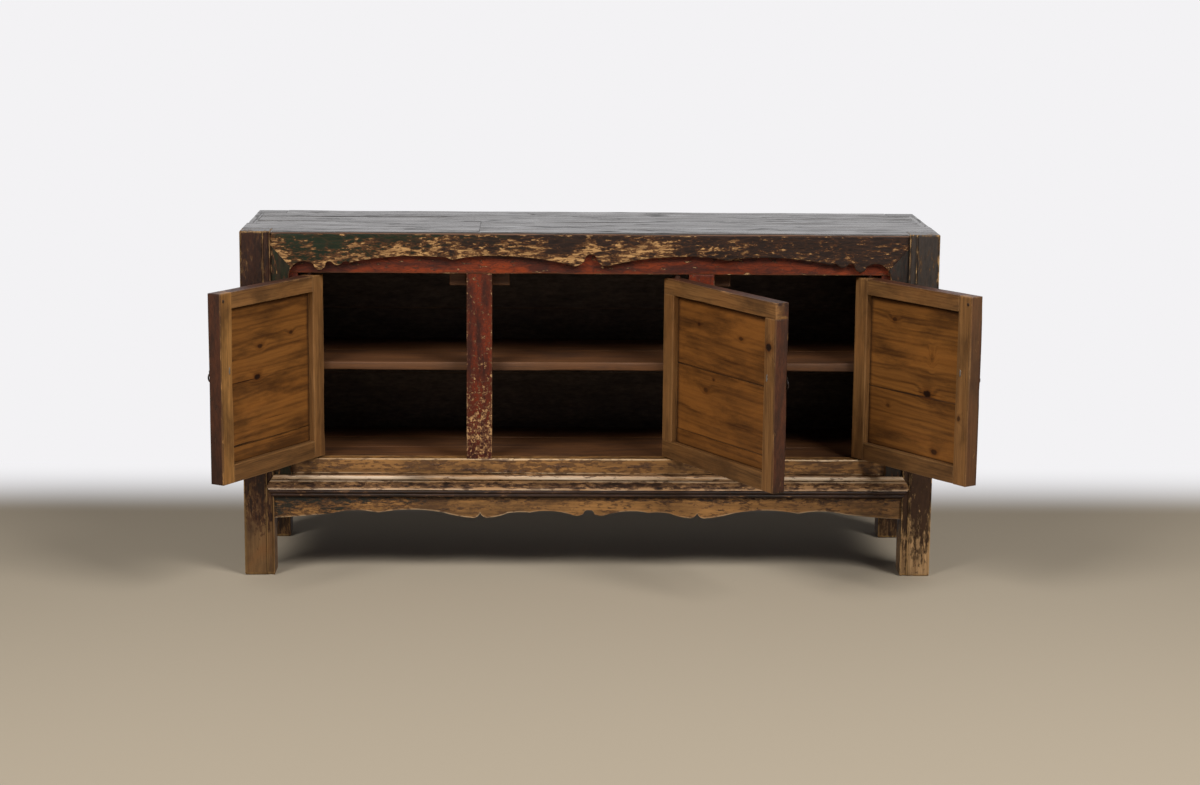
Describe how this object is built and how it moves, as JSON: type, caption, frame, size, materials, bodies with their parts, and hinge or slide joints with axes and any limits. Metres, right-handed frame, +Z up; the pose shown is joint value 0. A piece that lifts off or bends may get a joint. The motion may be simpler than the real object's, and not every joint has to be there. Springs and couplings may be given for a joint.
{
  "type": "cabinet",
  "caption": "Low worn lacquered cabinet with scalloped aprons, a moulded base rail and framed doors on wooden pivots, standing open on a long shelf.",
  "frame": {"origin": "on the floor, under the middle of the carcass", "axes": "+X to the right as seen from the front, +Y towards the back, +Z up"},
  "size_m": [1.7053, 0.7777, 0.805],
  "materials": {
    "dark_lacquer": "black and green lacquer, worn, chipped to the wood",
    "red_lacquer": "red lacquer, worn",
    "worn_wood": "bare wood with traces of dark lacquer",
    "top_lacquer": "grey black lacquer, satin, cracked along the grain",
    "inside_wood": "old bare wood, dull",
    "door_pine": "aged pine, satin",
    "iron": "forged iron, dark"
  },
  "bodies": {
    "carcass": {"apron_side_left": "dark_lacquer", "apron_side_right": "dark_lacquer", "back_boards": "inside_wood", "base_rail": "worn_wood", "door_stops": "inside_wood", "floor_boards": "inside_wood", "jamb_left": "red_lacquer", "jamb_right": "red_lacquer", "lower_apron": "worn_wood", "lower_back_rail": "inside_wood", "lower_side_rail_left": "inside_wood", "lower_side_rail_right": "inside_wood", "mullion_left": "red_lacquer", "mullion_right": "red_lacquer", "post_back_left": "dark_lacquer", "post_back_right": "dark_lacquer", "post_front_left": "dark_lacquer", "post_front_right": "dark_lacquer", "shelf_back_board": "inside_wood", "shelf_bearers": "inside_wood", "shelf_cleats": "inside_wood", "shelf_front_board": "inside_wood", "side_panel_left": "inside_wood", "side_panel_right": "inside_wood", "sill": "worn_wood", "top_back_board": "top_lacquer", "top_end_strips": "top_lacquer", "top_front_board_left": "top_lacquer", "top_front_board_right": "top_lacquer", "top_middle_board": "top_lacquer", "upper_apron": "dark_lacquer", "upper_back_rail": "inside_wood", "upper_front_rail": "red_lacquer", "upper_side_rail_left": "inside_wood", "upper_side_rail_right": "inside_wood"},
    "door_left": {"door_left_bottom_rail": "door_pine", "door_left_free_stile": "door_pine", "door_left_hinge_stile": "door_pine", "door_left_panel": "door_pine", "door_left_peg": "door_pine", "door_left_pull": "iron", "door_left_top_rail": "door_pine"},
    "ring_left": {"door_left_ring": "iron"},
    "door_middle": {"door_middle_bottom_rail": "door_pine", "door_middle_free_stile": "door_pine", "door_middle_hinge_stile": "door_pine", "door_middle_panel": "door_pine", "door_middle_pull": "iron", "door_middle_top_rail": "door_pine"},
    "ring_middle": {"door_middle_ring": "iron"},
    "door_right": {"door_right_bottom_rail": "door_pine", "door_right_free_stile": "door_pine", "door_right_hinge_stile": "door_pine", "door_right_panel": "door_pine", "door_right_peg": "door_pine", "door_right_pull": "iron", "door_right_top_rail": "door_pine"},
    "ring_right": {"door_right_ring": "iron"}
  },
  "joints": [
    {"name": "door_left_pivot", "type": "hinge", "parent": "carcass", "child": "door_left", "pos_m": [-0.645, -0.182, 0.49], "axis": [0, 0, 1], "range_deg": [-5, 120.7]},
    {"name": "door_middle_pivot", "type": "hinge", "parent": "carcass", "child": "door_middle", "pos_m": [0.201, -0.182, 0.49], "axis": [0, 0, 1], "range_deg": [-119.5, 1.5]},
    {"name": "door_right_pivot", "type": "hinge", "parent": "carcass", "child": "door_right", "pos_m": [0.645, -0.182, 0.49], "axis": [0, 0, 1], "range_deg": [-124, 2]},
    {"name": "ring_left_swing", "type": "hinge", "parent": "door_left", "child": "ring_left", "pos_m": [-0.83781, -0.45189, 0.52136], "axis": [0.5105, 0.8599, 0], "range_deg": [-30, 100]},
    {"name": "ring_middle_swing", "type": "hinge", "parent": "door_middle", "child": "ring_middle", "pos_m": [0.42086, -0.51374, 0.52136], "axis": [0.4924, -0.8704, 0], "range_deg": [-30, 100]},
    {"name": "ring_right_swing", "type": "hinge", "parent": "door_right", "child": "ring_right", "pos_m": [0.85303, -0.44034, 0.52136], "axis": [0.5592, -0.829, 0], "range_deg": [-30, 100]}
  ]
}
